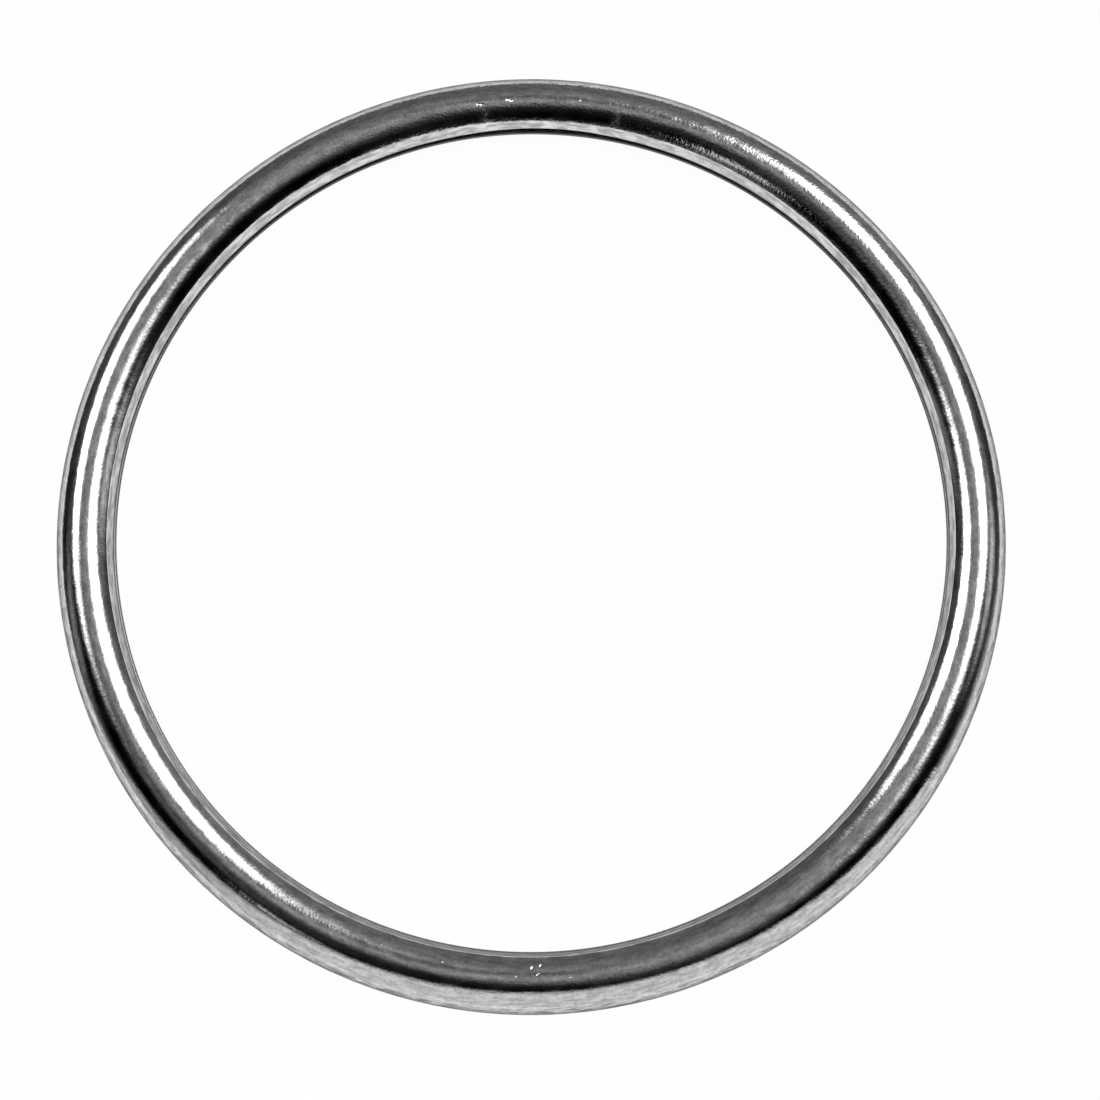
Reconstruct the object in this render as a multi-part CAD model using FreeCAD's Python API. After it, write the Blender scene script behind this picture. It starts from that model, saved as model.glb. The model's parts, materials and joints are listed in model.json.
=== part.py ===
import FreeCAD, Part
import math
import os

# Exhaust ring gasket: one strip of bright steel sheet, rolled into a hollow ring section.
# It lies flat on its underside, with the ring's axis on Z and its seat face at Z = 0.
# All sizes are in millimetres.

# Driving dimensions
bore_diameter = 63.5
crown_radius = 2.45
crown_inset = 1.79
sheet_thickness = 0.3
lower_bend_inside_radius = 0.16
crease_radius = 0.1
seam_gap = 0.35

# The strip starts at the bore as a flat seat and turns up in the lower bend. The crown is
# one arc: upright at the outside diameter, level at its top, which lies crown_inset outside
# the bore, and cut off at the crease, where the strip drops as the straight bore wall.
bore_radius = bore_diameter / 2
lower_bend_radius = lower_bend_inside_radius + sheet_thickness
crown_top_radius = bore_radius + crown_inset
outside_radius = crown_top_radius + crown_radius
lower_bend_centre_radius = outside_radius - lower_bend_radius

# Inside surface of the strip
crown_inside_radius = crown_radius - sheet_thickness

# Both free edges of the strip are rounded over half its thickness. The one on the bore wall
# stops above the seat and leaves an open seam all round the bore.
free_edge_radius = sheet_thickness / 2
wall_end_height = sheet_thickness + seam_gap


def section_point(radius, height):
    """Point of the ring's section, in the XZ plane."""
    return FreeCAD.Vector(radius, 0, height)


def arc_point(centre, arc_radius, angle):
    """Point of a section arc, at an angle in degrees up from the outward direction."""
    turn = math.radians(angle)
    return section_point(centre.x + arc_radius * math.cos(turn),
                         centre.z + arc_radius * math.sin(turn))


def arc(centre, arc_radius, start_angle, end_angle):
    """Round edge of the section, from one angle to another."""
    start = arc_point(centre, arc_radius, start_angle)
    middle = arc_point(centre, arc_radius, (start_angle + end_angle) / 2)
    end = arc_point(centre, arc_radius, end_angle)
    return Part.Arc(start, middle, end).toShape()


def line(start, end):
    """Straight edge of the section."""
    return Part.LineSegment(start, end).toShape()


def angle_across(radius, reach):
    """Angle of the crown point of a given radius that lies reach inside the crown's top."""
    return 180 - math.degrees(math.acos(reach / radius))


def strip_section():
    """Closed outline of the rolled strip: its outer side out and over, then its inner side back."""
    crown_centre = section_point(crown_top_radius, lower_bend_radius)
    lower_bend_centre = section_point(lower_bend_centre_radius, lower_bend_radius)
    seat_edge_centre = section_point(bore_radius + free_edge_radius, free_edge_radius)
    wall_edge_centre = section_point(bore_radius + free_edge_radius, wall_end_height + free_edge_radius)

    # The crease rounds the corner between the crown and the bore wall, tangent to both.
    crease_angle = angle_across(crown_radius - crease_radius, crown_inset - crease_radius)
    crease_centre = arc_point(crown_centre, crown_radius - crease_radius, crease_angle)
    crease_inside_angle = angle_across(crown_inside_radius, crown_inset - sheet_thickness)

    outer_side = [
        line(arc_point(seat_edge_centre, free_edge_radius, -90),
             arc_point(lower_bend_centre, lower_bend_radius, -90)),
        arc(lower_bend_centre, lower_bend_radius, -90, 0),
        arc(crown_centre, crown_radius, 0, crease_angle),
        arc(crease_centre, crease_radius, crease_angle, 180),
        line(arc_point(crease_centre, crease_radius, 180),
             arc_point(wall_edge_centre, free_edge_radius, 180)),
        arc(wall_edge_centre, free_edge_radius, 180, 360),
    ]
    inner_side = [
        line(arc_point(wall_edge_centre, free_edge_radius, 0),
             arc_point(crown_centre, crown_inside_radius, crease_inside_angle)),
        arc(crown_centre, crown_inside_radius, crease_inside_angle, 0),
        arc(lower_bend_centre, lower_bend_inside_radius, 0, -90),
        line(arc_point(lower_bend_centre, lower_bend_inside_radius, -90),
             arc_point(seat_edge_centre, free_edge_radius, 90)),
        arc(seat_edge_centre, free_edge_radius, 90, 270),
    ]
    return Part.Wire(outer_side + inner_side)


def gasket_ring():
    """The whole gasket: the strip's section turned once about the ring's axis."""
    axis_point = FreeCAD.Vector(0, 0, 0)
    axis = FreeCAD.Vector(0, 0, 1)
    return Part.Face(strip_section()).revolve(axis_point, axis, 360)


os.makedirs("parts", exist_ok=True)
ring = gasket_ring()
ring.exportStep("parts/gasket_ring.step")
print("gasket_ring", ring.ShapeType, "valid", ring.isValid(), "volume", round(ring.Volume, 3))
print("outside diameter", 2 * outside_radius, "height", crown_radius + lower_bend_radius)
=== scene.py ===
import bpy
import json
import math
import numpy as np
from collections import namedtuple
from mathutils import Euler, Matrix, Vector


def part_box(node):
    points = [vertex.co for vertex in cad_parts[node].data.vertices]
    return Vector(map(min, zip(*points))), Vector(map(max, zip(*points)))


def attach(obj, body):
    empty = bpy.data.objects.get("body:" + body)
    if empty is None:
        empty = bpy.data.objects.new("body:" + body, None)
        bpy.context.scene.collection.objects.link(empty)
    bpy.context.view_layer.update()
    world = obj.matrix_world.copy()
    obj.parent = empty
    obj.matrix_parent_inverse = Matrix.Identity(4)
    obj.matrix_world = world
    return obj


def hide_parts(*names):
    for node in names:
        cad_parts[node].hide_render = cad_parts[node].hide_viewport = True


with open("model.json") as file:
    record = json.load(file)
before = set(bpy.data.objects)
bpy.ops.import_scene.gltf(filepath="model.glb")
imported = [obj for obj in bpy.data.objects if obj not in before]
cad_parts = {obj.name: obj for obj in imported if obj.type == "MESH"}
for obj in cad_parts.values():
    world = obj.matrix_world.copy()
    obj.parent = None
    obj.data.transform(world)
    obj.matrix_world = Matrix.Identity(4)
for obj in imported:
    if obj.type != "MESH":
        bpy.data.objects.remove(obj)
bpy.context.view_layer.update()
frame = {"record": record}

# Millimetres in the frame's metres
MM = 0.001

# Sizes of the ring, read from the frame, and the four that the frame doesn't state
box_low, box_high = (Vector(corner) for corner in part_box("gasket_ring"))
pipe_bore = next(mount for mount in frame["record"]["mounts"] if mount["name"] == "pipe_bore")
bore_radius = pipe_bore["dims"]["r_mm"] * MM
outside_radius = (box_high.x - box_low.x) / 2
ring_height = box_high.z - box_low.z
lower_bend_radius = 0.46 * MM
sheet_thickness = 0.3 * MM
crease_radius = 0.1 * MM
seam_gap = 0.35 * MM

crown_radius = ring_height - lower_bend_radius
crown_top_radius = outside_radius - crown_radius
crown_inset = crown_top_radius - bore_radius
lower_bend_centre_radius = outside_radius - lower_bend_radius
free_edge_radius = sheet_thickness / 2
wall_end_height = sheet_thickness + seam_gap

# Resolution of the ring's mesh: steps round the ring, and steps on each stretch of its section,
# in the order in which they follow each other
STEPS_AROUND = 720
SEAT_STEPS = 4
LOWER_BEND_STEPS = 8
CROWN_STEPS = 52
CREASE_STEPS = 4
WALL_STEPS = 6
FREE_EDGE_STEPS = 8
HIDDEN_WALL_STEPS = 2
HIDDEN_CROWN_STEPS = 12
HIDDEN_BEND_STEPS = 3
HIDDEN_SEAT_STEPS = 3

# Shallow ripples that the rolling left in the sheet: random waves, each with a number of
# crests round the ring, and so much further on per length across the strip
RIPPLE_SEED = 5
RIPPLE_WAVES = 14
RIPPLE_HEIGHT = 0.0006 * MM
RIPPLE_CRESTS = (40, 170)
RIPPLE_SLANT = 2.5 / MM

# The wall's free edge isn't quite level: it rises over a stretch at the far side, where the
# seam gapes
GAPE_AZIMUTH = math.radians(106)
GAPE_SPREAD = math.radians(12)
GAPE_HEIGHT = 0.33 * MM


def circle_point(centre, radius, turn):
    """Point of a circle in the section, at a turn from the outward direction."""
    return centre[0] + radius * math.cos(turn), centre[1] + radius * math.sin(turn)


def crown_turn(radius, reach):
    """Turn at which a circle of the crown lies reach further in than the crown's top."""
    return math.pi - math.acos(reach / radius)


def arc_points(centre, radius, start, end, steps):
    """Points of a section arc, its last one left out."""
    return [circle_point(centre, radius, turn) for turn in np.linspace(start, end, steps + 1)[:-1]]


def line_points(start, end, steps):
    """Points of a straight stretch of the section, its last one left out."""
    shares = np.linspace(0, 1, steps + 1)[:-1]
    return [(start[0] + (end[0] - start[0]) * share, start[1] + (end[1] - start[1]) * share)
            for share in shares]


def section_points():
    """Radius and height of each point of the rolled strip's outline, in turn."""
    quarter = math.pi / 2
    crown_centre = (crown_top_radius, lower_bend_radius)
    bend_centre = (lower_bend_centre_radius, lower_bend_radius)
    seat_edge = (bore_radius + free_edge_radius, free_edge_radius)
    wall_edge = (bore_radius + free_edge_radius, wall_end_height + free_edge_radius)
    crease_turn = crown_turn(crown_radius - crease_radius, crown_inset - crease_radius)
    crease_centre = circle_point(crown_centre, crown_radius - crease_radius, crease_turn)
    inside_radius = crown_radius - sheet_thickness
    inside_turn = crown_turn(inside_radius, crown_inset - sheet_thickness)
    inside_crease = circle_point(crown_centre, inside_radius, inside_turn)
    bend_inside_radius = lower_bend_radius - sheet_thickness
    points = line_points((seat_edge[0], 0), (bend_centre[0], 0), SEAT_STEPS)
    points += arc_points(bend_centre, lower_bend_radius, -quarter, 0, LOWER_BEND_STEPS)
    points += arc_points(crown_centre, crown_radius, 0, crease_turn, CROWN_STEPS)
    points += arc_points(crease_centre, crease_radius, crease_turn, math.pi, CREASE_STEPS)
    points += line_points((bore_radius, crease_centre[1]), (bore_radius, wall_edge[1]), WALL_STEPS)
    points += arc_points(wall_edge, free_edge_radius, math.pi, 2 * math.pi, FREE_EDGE_STEPS)
    points += line_points((wall_edge[0] + free_edge_radius, wall_edge[1]), inside_crease,
                          HIDDEN_WALL_STEPS)
    points += arc_points(crown_centre, inside_radius, inside_turn, 0, HIDDEN_CROWN_STEPS)
    points += arc_points(bend_centre, bend_inside_radius, 0, -quarter, HIDDEN_BEND_STEPS)
    points += line_points((bend_centre[0], sheet_thickness), (seat_edge[0], sheet_thickness),
                          HIDDEN_SEAT_STEPS)
    points += arc_points(seat_edge, free_edge_radius, quarter, 3 * quarter, FREE_EDGE_STEPS)
    return points


def crown_share(outline):
    """How far each outline point takes part in the ripples: fully above the lower bend's centre
    on the outer side of the crown, and not at all on the seat and inside the hollow."""
    crown_end = SEAT_STEPS + LOWER_BEND_STEPS + CROWN_STEPS
    share = np.clip((outline[:, 1] - lower_bend_radius) / lower_bend_radius, 0, 1)
    share[crown_end:] = 0
    return share


def wall_share(outline):
    """How far each outline point follows the wall's free edge up: fully at the edge's lowest
    point, and less and less up to the crease."""
    wall_start = SEAT_STEPS + LOWER_BEND_STEPS + CROWN_STEPS + CREASE_STEPS
    wall_end = wall_start + WALL_STEPS + FREE_EDGE_STEPS + HIDDEN_WALL_STEPS + 1
    crease_height = outline[wall_start, 1]
    share = np.zeros(len(outline))
    share[wall_start:wall_end] = crease_height - outline[wall_start:wall_end, 1]
    return np.clip(share / (crease_height - wall_end_height), 0, 1)


def ripples(turns, outline):
    """Height of the ripples at each turn and outline point; they only dip below the true surface."""
    draws = np.random.default_rng(RIPPLE_SEED)
    steps = np.linalg.norm(np.diff(outline, axis=0, prepend=outline[-1:]), axis=1)
    along_section = np.cumsum(steps)
    height = np.zeros((len(turns), len(outline)))
    for wave in range(RIPPLE_WAVES):
        crests = draws.integers(*RIPPLE_CRESTS)
        slant = draws.uniform(-RIPPLE_SLANT, RIPPLE_SLANT)
        start = draws.uniform(0, 2 * math.pi)
        height += np.cos(crests * turns[:, None] + slant * along_section[None, :] + start)
    return (height - height.max()) * RIPPLE_HEIGHT


def ring_vertices(outline):
    """The outline's points at each turn round the axis, rippled and with the seam's gape."""
    turns = np.arange(STEPS_AROUND) * 2 * math.pi / STEPS_AROUND
    tangents = np.roll(outline, -1, axis=0) - np.roll(outline, 1, axis=0)
    tangents /= np.linalg.norm(tangents, axis=1, keepdims=True)
    dip = ripples(turns, outline) * crown_share(outline)
    gape = GAPE_HEIGHT * np.exp(-((turns - GAPE_AZIMUTH) / GAPE_SPREAD) ** 2)
    radii = outline[:, 0] + dip * tangents[:, 1]
    x = np.cos(turns)[:, None] * radii
    y = np.sin(turns)[:, None] * radii
    z = outline[:, 1] - dip * tangents[:, 0] + gape[:, None] * wall_share(outline)
    return np.stack([x, y, z], axis=-1).reshape(-1, 3)


def ring_faces(count):
    """Four-sided faces between neighbouring turns of an outline of so many points."""
    here, point = np.meshgrid(np.arange(STEPS_AROUND), np.arange(count), indexing="ij")
    ahead = (here + 1) % STEPS_AROUND
    after = (point + 1) % count
    corners = [here * count + point, ahead * count + point, ahead * count + after, here * count + after]
    return np.stack(corners, axis=-1).reshape(-1, 4)


def build_ring():
    """The gasket: its section turned once about the axis."""
    outline = np.array(section_points())
    mesh = bpy.data.meshes.new("dressed_ring")
    mesh.from_pydata(ring_vertices(outline).tolist(), [], ring_faces(len(outline)).tolist())
    mesh.shade_smooth()
    mesh.update()
    ring = bpy.data.objects.new("dressed_ring", mesh)
    bpy.context.collection.objects.link(ring)
    return ring


class Nodes:
    """Short calls for building a node tree."""

    def __init__(self, tree):
        self.tree = tree
        tree.nodes.clear()

    def add(self, kind, inputs=None, **settings):
        """New node, with its settings, and its inputs linked to a socket or set to a value."""
        node = self.tree.nodes.new(kind)
        for name, value in settings.items():
            setattr(node, name, value)
        for name, value in (inputs or {}).items():
            if isinstance(value, bpy.types.NodeSocket):
                self.tree.links.new(value, node.inputs[name])
            else:
                node.inputs[name].default_value = value
        return node

    def math(self, operation, first, second=0.0, third=0.0):
        """Result of an operation on up to three numbers or sockets."""
        inputs = {0: first, 1: second, 2: third}
        return self.add("ShaderNodeMath", inputs, operation=operation).outputs[0]

    def soft_step(self, value, low, high):
        """0 below low, 1 above high and smooth between; low may be the larger one."""
        return self.add("ShaderNodeMapRange", {"Value": value, "From Min": low, "From Max": high},
                        interpolation_type="SMOOTHSTEP").outputs["Result"]

    def mix(self, share, first, second):
        """The first value where the share is 0, the second where it is 1, and mixed between."""
        return self.add("ShaderNodeMix", {"Factor": share, "A": first, "B": second},
                        data_type="FLOAT").outputs["Result"]

    def length(self, vector):
        """Length of a vector."""
        return self.add("ShaderNodeVectorMath", {0: vector}, operation="LENGTH").outputs["Value"]

    def distance_from(self, place, centre, half_sizes, turns):
        """How far a place lies from a centre, in half sizes of a patch that is turned there."""
        inputs = {"Vector": place, "Location": centre, "Rotation": turns, "Scale": half_sizes}
        return self.length(self.add("ShaderNodeMapping", inputs, vector_type="TEXTURE").outputs[0])


# Patterns of the steel. A pattern's size is that of its cells, along the ring and across it
# where it has two, and its step is the stretch of the noise in which it turns from one side of
# the pattern to the other. A height is that of the pattern's bumps. The dimples are higher at
# the far side: their height rises between two places along Y.
ROLLED_DETAIL = 2.0
GRAIN_SIZE = (1.2 * MM, 0.18 * MM)
GRAIN_HEIGHT = 0.004 * MM
DIMPLE_SIZE = 0.2 * MM
DIMPLE_DETAIL = 1.5
DIMPLE_HEIGHTS = (0.0055 * MM, 0.0135 * MM)
DIMPLE_RISE = (17 * MM, 29 * MM)
MOTTLE_SIZE = (1.0 * MM, 0.25 * MM)
MOTTLE_STEP = (0.25, 0.75)
WALL_MOTTLE_SIZE = (1.1 * MM, 0.45 * MM)
WALL_MOTTLE_STEP = (0.33, 0.67)
SPECKLE_SIZE = (0.24 * MM, 0.24 * MM)
SPECKLE_STEP = (0.7, 0.3)
FLECK_SIZE = (0.9 * MM, 0.22 * MM)
FLECK_STEP = (0.55, 0.62)
FLECK_DETAIL = 0.0
DULL_SIZE = 1.5 * MM
DULL_STEP = (0.3, 0.7)
SCUFF_SIZE = (0.3 * MM, 0.3 * MM)
SCUFF_STEP = (0.3, 0.6)

# Greys of the steel: its mottling from dark to light on the crown and on the bore wall, how
# much its speckle darkens it, its flecks, the painted shade that darkens its pit marks, its two
# cut edges, and the tint of what it reflects at a grazing angle
MOTTLE_GREYS = (0.52, 0.86)
WALL_GREYS = (0.46, 0.86)
SPECKLE_DEPTH = 0.22
FLECK_GREY = 0.34
PIT_SHADE_GREY = 0.2
CUT_EDGE_GREY = 0.22
GRAZING_TINT = (0.3, 0.3, 0.3, 1)

# Where the flecks start, are in full, fade and end on the outer flank, in crown radii outside
# the crown's top
FLECK_REACH = (0.6, 0.8, 0.88, 0.94)

# Roughness of the steel, from its brightest places to its dullest, in scuffs and pits, and on
# the cut edges
ROUGHNESS = (0.08, 0.13)
SCUFF_ROUGHNESS = 0.3
CUT_EDGE_ROUGHNESS = 0.45

# Single marks on the crown: azimuth from +X and angle out from the crown's top, half sizes
# across and along the ring in millimetres, and turn about the surface's normal; the angles
# are in degrees
Mark = namedtuple("Mark", "azimuth angle across along spin")
SCUFFS = {
    "far_left": Mark(114.3, -33, 1.3, 0.75, 0),
    "far_right": Mark(96.0, -30, 1.3, 0.6, 0),
}
DENTS = {
    "near_first": Mark(288.1, -27.0, 0.22, 0.12, -40),
    "near_second": Mark(289.2, -30.5, 0.26, 0.15, -40),
    "near_third": Mark(288.8, -17.5, 0.13, 0.06, -40),
    "near_fourth": Mark(286.2, -14.5, 0.08, 0.06, 0),
    "near_fifth": Mark(292.8, -10.0, 0.06, 0.08, 0),
    "near_sixth": Mark(277.0, -22.5, 0.09, 0.06, 40),
    "far_first": Mark(115.1, -11.0, 0.14, 0.2, 0),
    "far_second": Mark(114.6, -12.2, 0.13, 0.2, 0),
    "far_third": Mark(111.1, -7.5, 0.13, 0.16, 0),
    "far_fourth": Mark(110.6, -9.5, 0.13, 0.18, 30),
    "far_fifth": Mark(101.2, -5.5, 0.11, 0.07, 0),
}
DENT_DEPTH = 0.028 * MM
# Pit marks, rougher than the steel round them; their dark colour is painted shade
PITS = {
    "left": Mark(206.5, 48.0, 0.2, 0.16, 0),
}

# A place on the steel: its position, the level direction in which it lies from the ring's axis,
# how far out, how far along Y and how high
Place = namedtuple("Place", "position outward radius away height")


def ring_place(nodes):
    """The place on the steel that is being coloured."""
    position = nodes.add("ShaderNodeTexCoord").outputs["Object"]
    apart = nodes.add("ShaderNodeSeparateXYZ", {0: position}).outputs
    level = nodes.add("ShaderNodeCombineXYZ", {"X": apart["X"], "Y": apart["Y"]}).outputs[0]
    outward = nodes.add("ShaderNodeVectorMath", {0: level}, operation="NORMALIZE").outputs[0]
    return Place(position, outward, nodes.length(level), apart["Y"], apart["Z"])


def rolled_noise(nodes, place, size, detail=ROLLED_DETAIL):
    """Noise whose cells are drawn out along the ring, without a seam."""
    along, across = size
    cells = crown_top_radius / along
    direction = nodes.add("ShaderNodeSeparateXYZ", {0: place.outward}).outputs
    vector = nodes.add("ShaderNodeCombineXYZ", {"X": nodes.math("MULTIPLY", direction["X"], cells),
                                                "Y": nodes.math("MULTIPLY", direction["Y"], cells),
                                                "Z": nodes.math("DIVIDE", place.radius, across)})
    inputs = {"Vector": vector.outputs[0], "W": nodes.math("DIVIDE", place.height, across),
              "Scale": 1.0, "Detail": detail}
    return nodes.add("ShaderNodeTexNoise", inputs, noise_dimensions="4D").outputs["Fac"]


def mark_share(nodes, place, mark):
    """1 in the middle of a mark on the crown, falling to 0 at its edge."""
    turn = math.radians(mark.azimuth)
    lean = math.radians(mark.angle)
    radius = crown_top_radius + crown_radius * math.sin(lean)
    height = lower_bend_radius + crown_radius * math.cos(lean)
    centre = (radius * math.cos(turn), radius * math.sin(turn), height)
    half_sizes = (mark.across * MM, mark.along * MM, mark.across * MM)
    facing = Euler((0, lean, turn)).to_matrix() @ Matrix.Rotation(math.radians(mark.spin), 3, "Z")
    distance = nodes.distance_from(place.position, centre, half_sizes, facing.to_euler())
    return nodes.soft_step(distance, 1.0, 0.0)


def marks_share(nodes, place, marks):
    """The greatest of several marks' shares."""
    share = 0.0
    for mark in marks.values():
        share = nodes.math("MAXIMUM", mark_share(nodes, place, mark), share)
    return share


def cut_edge_share(nodes, place):
    """1 on the strip's two cut edges, at the bore, falling to 0 beyond them."""
    edge_top = wall_end_height + free_edge_radius
    inside = nodes.soft_step(place.radius, bore_radius + sheet_thickness, bore_radius + free_edge_radius)
    low = nodes.soft_step(place.height, edge_top + free_edge_radius, edge_top)
    return nodes.math("MULTIPLY", inside, low)


def fleck_share(nodes, place):
    """1 on a fleck of the outer flank, and 0 elsewhere."""
    start, full, fading, end = (crown_top_radius + reach * crown_radius for reach in FLECK_REACH)
    flank = nodes.math("MULTIPLY", nodes.soft_step(place.radius, start, full),
                       nodes.soft_step(place.radius, end, fading))
    flecks = nodes.soft_step(rolled_noise(nodes, place, FLECK_SIZE, FLECK_DETAIL), *FLECK_STEP)
    return nodes.math("MULTIPLY", flecks, flank)


def steel_bumps(nodes, place):
    """Height of the steel's grain, dimples and dents, in metres."""
    grain = nodes.math("MULTIPLY", rolled_noise(nodes, place, GRAIN_SIZE), GRAIN_HEIGHT)
    inputs = {"Vector": place.position, "Scale": 1 / DIMPLE_SIZE, "Detail": DIMPLE_DETAIL}
    dimples = nodes.add("ShaderNodeTexNoise", inputs).outputs["Fac"]
    dimple_height = nodes.mix(nodes.soft_step(place.away, *DIMPLE_RISE), *DIMPLE_HEIGHTS)
    height = nodes.math("MULTIPLY_ADD", dimples, dimple_height, grain)
    return nodes.math("MULTIPLY_ADD", marks_share(nodes, place, DENTS), -DENT_DEPTH, height)


def steel_grey(nodes, place, pits_and_shade, cut_edges):
    """Grey of the steel: mottled and speckled, with its own mottling on the bore wall, and with
    flecks and cut edges, and with painted shade that darkens the pit marks."""
    mottle = nodes.soft_step(rolled_noise(nodes, place, MOTTLE_SIZE), *MOTTLE_STEP)
    speckle = nodes.soft_step(rolled_noise(nodes, place, SPECKLE_SIZE), *SPECKLE_STEP)
    darker = nodes.math("MULTIPLY_ADD", speckle, -SPECKLE_DEPTH, 1.0)
    grey = nodes.math("MULTIPLY", nodes.mix(mottle, *MOTTLE_GREYS), darker)
    wall_mottle = nodes.soft_step(rolled_noise(nodes, place, WALL_MOTTLE_SIZE), *WALL_MOTTLE_STEP)
    wall = nodes.soft_step(place.radius, bore_radius + sheet_thickness, bore_radius)
    grey = nodes.mix(wall, grey, nodes.mix(wall_mottle, *WALL_GREYS))
    grey = nodes.mix(fleck_share(nodes, place), grey, FLECK_GREY)
    # Painted shade: the pit marks are darkened in colour
    grey = nodes.mix(pits_and_shade, grey, PIT_SHADE_GREY)
    return nodes.mix(cut_edges, grey, CUT_EDGE_GREY)


def steel_roughness(nodes, place, pits_and_shade, cut_edges):
    """Roughness of the steel: uneven all over, and duller in scuffs and pits and on cut edges."""
    inputs = {"Vector": place.position, "Scale": 1 / DULL_SIZE}
    dull = nodes.soft_step(nodes.add("ShaderNodeTexNoise", inputs).outputs["Fac"], *DULL_STEP)
    roughness = nodes.mix(dull, *ROUGHNESS)
    scratches = nodes.soft_step(rolled_noise(nodes, place, SCUFF_SIZE), *SCUFF_STEP)
    scuffs = nodes.math("MULTIPLY", marks_share(nodes, place, SCUFFS), scratches)
    roughness = nodes.mix(nodes.math("MAXIMUM", scuffs, pits_and_shade), roughness, SCUFF_ROUGHNESS)
    return nodes.mix(cut_edges, roughness, CUT_EDGE_ROUGHNESS)


def steel_material():
    """Bright rolled steel with a fine grain along the ring, small dimples and a few marks."""
    material = bpy.data.materials.new("bright_rolled_steel")
    material.use_nodes = True
    nodes = Nodes(material.node_tree)
    place = ring_place(nodes)
    pits_and_shade = marks_share(nodes, place, PITS)
    cut_edges = cut_edge_share(nodes, place)
    bump = nodes.add("ShaderNodeBump", {"Height": steel_bumps(nodes, place), "Distance": 1.0})
    shader = nodes.add("ShaderNodeBsdfPrincipled",
                       {"Base Color": steel_grey(nodes, place, pits_and_shade, cut_edges),
                        "Metallic": 1.0,
                        "Roughness": steel_roughness(nodes, place, pits_and_shade, cut_edges),
                        "Specular Tint": GRAZING_TINT,
                        "Normal": bump.outputs["Normal"]})
    nodes.add("ShaderNodeOutputMaterial", {"Surface": shader.outputs["BSDF"]})
    return material


# Studio, in directions from the ring. Each is given as the plane coordinates of a map that
# looks straight up: 0 is overhead, 1 is the horizon, first to the right and then away. A patch
# of the map is its centre, half sizes and turn, and its strength: how far a dark patch takes
# the world down, or the light that a light patch or a lamp has.
Patch = namedtuple("Patch", "across away half_width half_height turn strength")

# The room's grey overhead, how much it brightens towards the horizon and where that starts,
# and its dark stretches. An edge is how far a patch fades to each side of its outline.
ROOM_GREY = 0.78
ROOM_RISE = 0.06
RISE_START = 0.5
DARK_EDGE = 0.65
DARK_PATCHES = {
    "far_left": Patch(-0.48, 0.70, 0.72, 1.52, 1.94, 0.79),
    "far_right": Patch(0.63, 0.34, 0.78, 0.31, 1.21, 0.91),
    "between_lamps": Patch(0.02, 0.18, 0.13, 0.06, -0.41, 0.74),
    "camera_middle": Patch(0.03, -0.19, 0.25, 0.10, -0.86, 0.91),
    "camera_left": Patch(-0.76, -0.25, 0.60, 0.75, -0.07, 0.70),
    "camera_right": Patch(0.40, -0.17, 0.33, 0.39, 1.10, 1.0),
    "right_of_camera": Patch(0.51, -0.08, 0.10, 0.22, 0.70, 0.74),
    "camera_below": Patch(-0.24, -0.32, 1.0, 0.27, -0.31, 1.0),
}

# The fronts of three soft boxes and two faint reflectors, which add their light to the room's
LIGHT_EDGE = 0.8
LIGHT_PATCHES = {
    "left_soft_box": Patch(-0.356, 0.078, 0.097, 0.144, 0.616, 10.0),
    "right_soft_box": Patch(0.149, 0.250, 0.114, 0.169, -0.059, 10.0),
    "near_soft_box": Patch(-0.135, -0.383, 0.045, 0.10, 0.0, 0.9),
    "right_reflector": Patch(0.472, 0.202, 0.13, 0.105, 0.70, 0.60),
    "left_reflector": Patch(-0.624, -0.229, 0.10, 0.18, -0.64, 0.22),
}

# Lamps in the middles of the two large soft boxes
LAMP_DISTANCE = 1.2
LAMPS = {
    "left_lamp": Patch(-0.356, 0.078, 0.055, 0.085, 0.616, 6.0),
    "right_lamp": Patch(0.149, 0.250, 0.065, 0.100, -0.059, 6.0),
}

# Keeps the map's coordinates finite straight down
HORIZON_GUARD = 0.1

# How far along the map a second direction is taken, to find how a lamp is turned there
MAP_STEP = 0.001


def map_direction(across, away):
    """Unit vector of a direction given in map coordinates."""
    square = across ** 2 + away ** 2
    return Vector((2 * across, 2 * away, 1 - square)) / (1 + square)


def map_place(nodes):
    """Map coordinates of the direction in which the world is seen."""
    towards = nodes.add("ShaderNodeTexCoord").outputs["Generated"]
    direction = nodes.add("ShaderNodeSeparateXYZ", {0: towards}).outputs
    stretch = nodes.math("MAXIMUM", nodes.math("ADD", direction["Z"], 1.0), HORIZON_GUARD)
    across = nodes.math("DIVIDE", direction["X"], stretch)
    away = nodes.math("DIVIDE", direction["Y"], stretch)
    return nodes.add("ShaderNodeCombineXYZ", {"X": across, "Y": away}).outputs[0]


def room_grey(nodes, place):
    """Grey of the empty room, which brightens a little towards the horizon and below it."""
    rise = nodes.math("MAXIMUM", nodes.math("SUBTRACT", nodes.length(place), RISE_START), 0.0)
    rise = nodes.math("MULTIPLY", nodes.math("MULTIPLY", rise, rise), ROOM_GREY * ROOM_RISE)
    return nodes.math("ADD", rise, ROOM_GREY)


def patch_share(nodes, place, patch, edge):
    """1 inside a patch of the map, falling smoothly to 0 across its edge."""
    centre = (patch.across, patch.away, 0)
    half_sizes = (patch.half_width, patch.half_height, 1)
    distance = nodes.distance_from(place, centre, half_sizes, (0, 0, patch.turn))
    return nodes.soft_step(distance, 1 + edge, 1 - edge)


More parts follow.
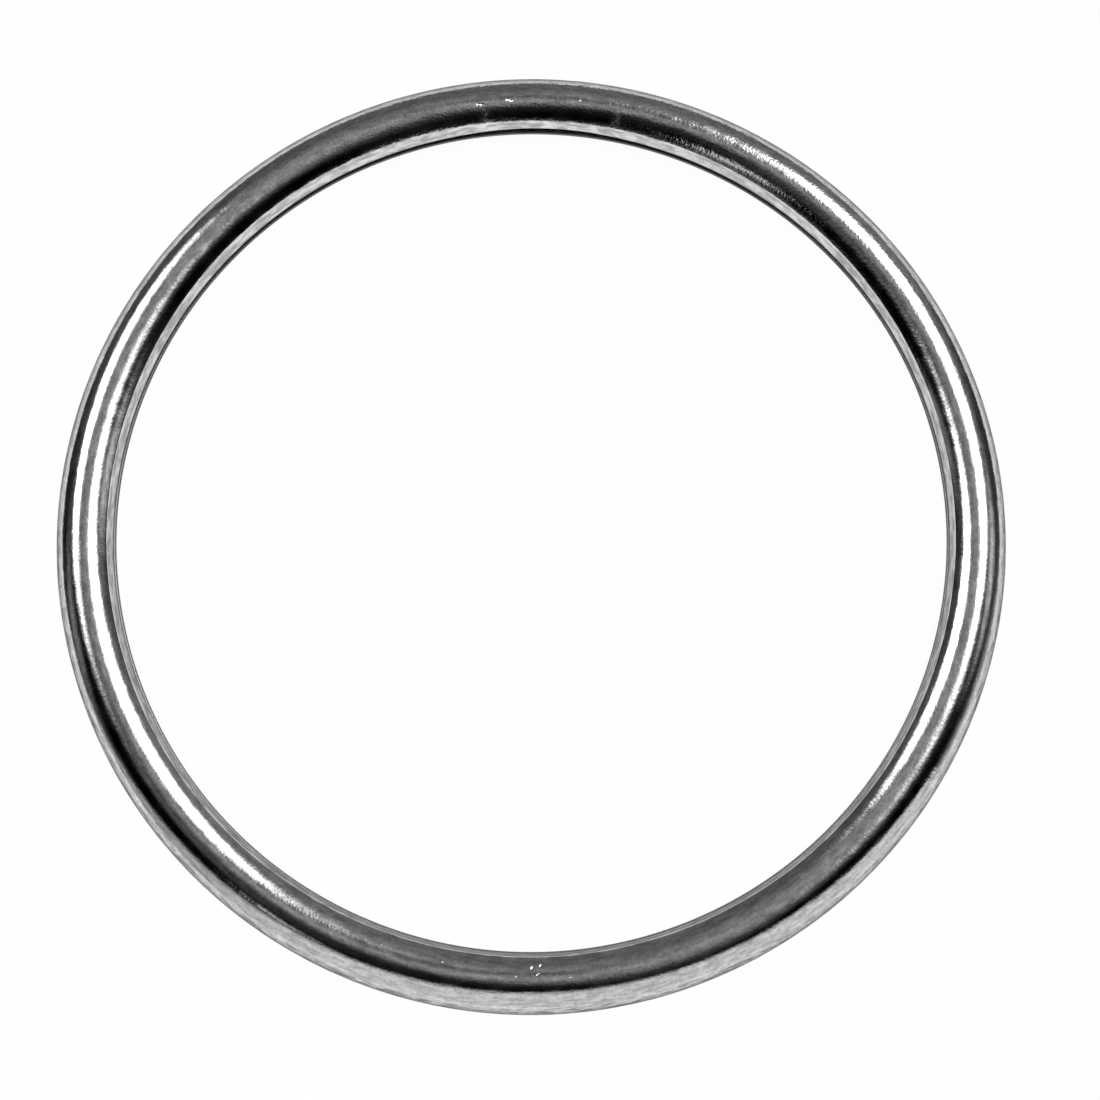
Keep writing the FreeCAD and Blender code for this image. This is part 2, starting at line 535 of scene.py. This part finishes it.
def studio_world():
    """Grey room with dark stretches, and with the lit fronts of soft boxes and reflectors."""
    world = bpy.data.worlds.new("studio")
    bpy.context.scene.world = world
    world.use_nodes = True
    nodes = Nodes(world.node_tree)
    place = map_place(nodes)
    grey = room_grey(nodes, place)
    for patch in DARK_PATCHES.values():
        share = patch_share(nodes, place, patch, DARK_EDGE)
        grey = nodes.mix(nodes.math("MULTIPLY", share, patch.strength), grey, 0.0)
    for patch in LIGHT_PATCHES.values():
        share = patch_share(nodes, place, patch, LIGHT_EDGE)
        grey = nodes.math("MULTIPLY_ADD", nodes.math("MULTIPLY", share, share), patch.strength, grey)
    background = nodes.add("ShaderNodeBackground", {"Color": grey, "Strength": 1.0})
    nodes.add("ShaderNodeOutputWorld", {"Surface": background.outputs["Background"]})


def oval_lamp(name, patch):
    """Oval lamp that covers a patch of the map and shines with its strength."""
    towards = map_direction(patch.across, patch.away)
    beside = map_direction(patch.across + MAP_STEP * math.cos(patch.turn),
                           patch.away + MAP_STEP * math.sin(patch.turn))
    lamp_across = (beside - towards).normalized()
    lamp_up = towards.cross(lamp_across).normalized()
    facing = Matrix((lamp_across, lamp_up, lamp_across.cross(lamp_up))).transposed()
    map_scale = 2 / (1 + patch.across ** 2 + patch.away ** 2)
    width = 2 * patch.half_width * map_scale * LAMP_DISTANCE
    height = 2 * patch.half_height * map_scale * LAMP_DISTANCE
    area = math.pi / 4 * width * height
    lamp = bpy.data.lights.new(name, "AREA")
    lamp.shape = "ELLIPSE"
    lamp.size = width
    lamp.size_y = height
    lamp.energy = patch.strength * math.pi * area
    holder = bpy.data.objects.new(name, lamp)
    holder.matrix_world = Matrix.Translation(towards * LAMP_DISTANCE) @ facing.to_4x4()
    holder.visible_camera = False
    bpy.context.collection.objects.link(holder)


# White card that stands on the floor at the camera's side: the direction from the ring's axis
# in which it stands and how far off, how high its top is there and how it rises to the right,
# how far it reaches to each side, and how bright it is at its left end and from its middle on.
# Its light fades out towards the top.
CARD_AZIMUTH = math.radians(10)
CARD_DISTANCE = 78 * MM
CARD_TOP = 76 * MM
CARD_FADE_START = 40 * MM
CARD_RISE = math.radians(12)
CARD_REACH = 240 * MM
CARD_GREYS = (0.42, 0.80)
CARD_SHADE = (-70 * MM, -10 * MM)


def card_material():
    """Light of the card, brighter to the right and fading out along its sloped top."""
    material = bpy.data.materials.new("lit_card")
    material.use_nodes = True
    nodes = Nodes(material.node_tree)
    position = nodes.add("ShaderNodeTexCoord").outputs["Object"]
    apart = nodes.add("ShaderNodeSeparateXYZ", {0: position}).outputs
    grey = nodes.mix(nodes.soft_step(apart["X"], *CARD_SHADE), *CARD_GREYS)
    height = nodes.math("MULTIPLY_ADD", apart["X"], -math.tan(CARD_RISE), apart["Z"])
    grey = nodes.math("MULTIPLY", grey, nodes.soft_step(height, CARD_TOP, CARD_FADE_START))
    light = nodes.add("ShaderNodeEmission", {"Color": grey, "Strength": 1.0})
    nodes.add("ShaderNodeOutputMaterial", {"Surface": light.outputs[0]})
    return material


def low_card():
    """Card of light that the near flank of the ring reflects; the camera doesn't see it."""
    level = Vector((math.cos(CARD_AZIMUTH), math.sin(CARD_AZIMUTH), 0))
    near = Vector((math.sin(CARD_AZIMUTH), -math.cos(CARD_AZIMUTH), 0))
    rise = CARD_REACH * math.tan(CARD_RISE)
    foot_left = near * CARD_DISTANCE - level * CARD_REACH
    foot_right = near * CARD_DISTANCE + level * CARD_REACH
    top_left = foot_left + Vector((0, 0, CARD_TOP - rise))
    top_right = foot_right + Vector((0, 0, CARD_TOP + rise))
    corners = [tuple(corner) for corner in (foot_left, foot_right, top_right, top_left)]
    mesh = bpy.data.meshes.new("low_card")
    mesh.from_pydata(corners, [], [(0, 1, 2, 3)])
    mesh.materials.append(card_material())
    card = bpy.data.objects.new("low_card", mesh)
    card.visible_camera = False
    card.visible_shadow = False
    bpy.context.collection.objects.link(card)


# The floor's size in metres, the colour of its paper, and how much of what the camera and the
# metal see of it is plain white instead
FLOOR_SIZE = 6.0
FLOOR_WHITE = (0.9, 0.9, 0.9, 1)
FLOOR_LIFT = 0.97


def paper_material():
    """White paper that shows as white to the camera and in the metal, and keeps a shadow."""
    material = bpy.data.materials.new("white_paper")
    material.use_nodes = True
    nodes = Nodes(material.node_tree)
    paper = nodes.add("ShaderNodeBsdfDiffuse", {"Color": FLOOR_WHITE})
    white = nodes.add("ShaderNodeEmission", {"Color": (1, 1, 1, 1), "Strength": 1.0})
    path = nodes.add("ShaderNodeLightPath").outputs
    seen = nodes.math("MAXIMUM", path["Is Camera Ray"], path["Is Glossy Ray"])
    seen = nodes.math("MAXIMUM", seen, path["Is Transmission Ray"])
    lift = nodes.math("MULTIPLY", seen, FLOOR_LIFT)
    surface = nodes.add("ShaderNodeMixShader", {0: lift, 1: paper.outputs[0], 2: white.outputs[0]})
    nodes.add("ShaderNodeOutputMaterial", {"Surface": surface.outputs[0]})
    return material


def pale_floor():
    """Plain floor under the ring."""
    bpy.ops.mesh.primitive_plane_add(size=FLOOR_SIZE)
    floor = bpy.context.object
    floor.name = "pale_floor"
    floor.data.materials.append(paper_material())


# Camera, solved from the outlines of the ring and its crease in the photograph
PHOTO_PIXELS = 1100
SENSOR_MM = 36.0
FOCAL_PIXELS = 1179.6
CAMERA_DISTANCE = 90.15 * MM
CAMERA_ELEVATION = math.radians(80.92)
CAMERA_AZIMUTH = math.radians(17.80)
AIM_POINT = Vector((2.039, -1.732, 0)) * MM


def photo_camera():
    """Camera that looks almost straight down on the ring, from close by."""
    back = Vector((math.sin(CAMERA_AZIMUTH) * math.cos(CAMERA_ELEVATION),
                   -math.cos(CAMERA_AZIMUTH) * math.cos(CAMERA_ELEVATION),
                   math.sin(CAMERA_ELEVATION)))
    camera = bpy.data.cameras.new("photo_camera")
    camera.sensor_width = SENSOR_MM
    camera.lens = FOCAL_PIXELS / PHOTO_PIXELS * SENSOR_MM
    camera.clip_start = 1 * MM
    holder = bpy.data.objects.new("photo_camera", camera)
    holder.location = AIM_POINT + back * CAMERA_DISTANCE
    holder.rotation_euler = back.to_track_quat("Z", "Y").to_euler()
    bpy.context.collection.objects.link(holder)
    bpy.context.scene.camera = holder


ring = build_ring()
ring.data.materials.append(steel_material())
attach(ring, "root")
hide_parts("gasket_ring")

studio_world()
for lamp_name, lamp_patch in LAMPS.items():
    oval_lamp(lamp_name, lamp_patch)
low_card()
pale_floor()
photo_camera()
bpy.context.scene.view_settings.view_transform = "Standard"
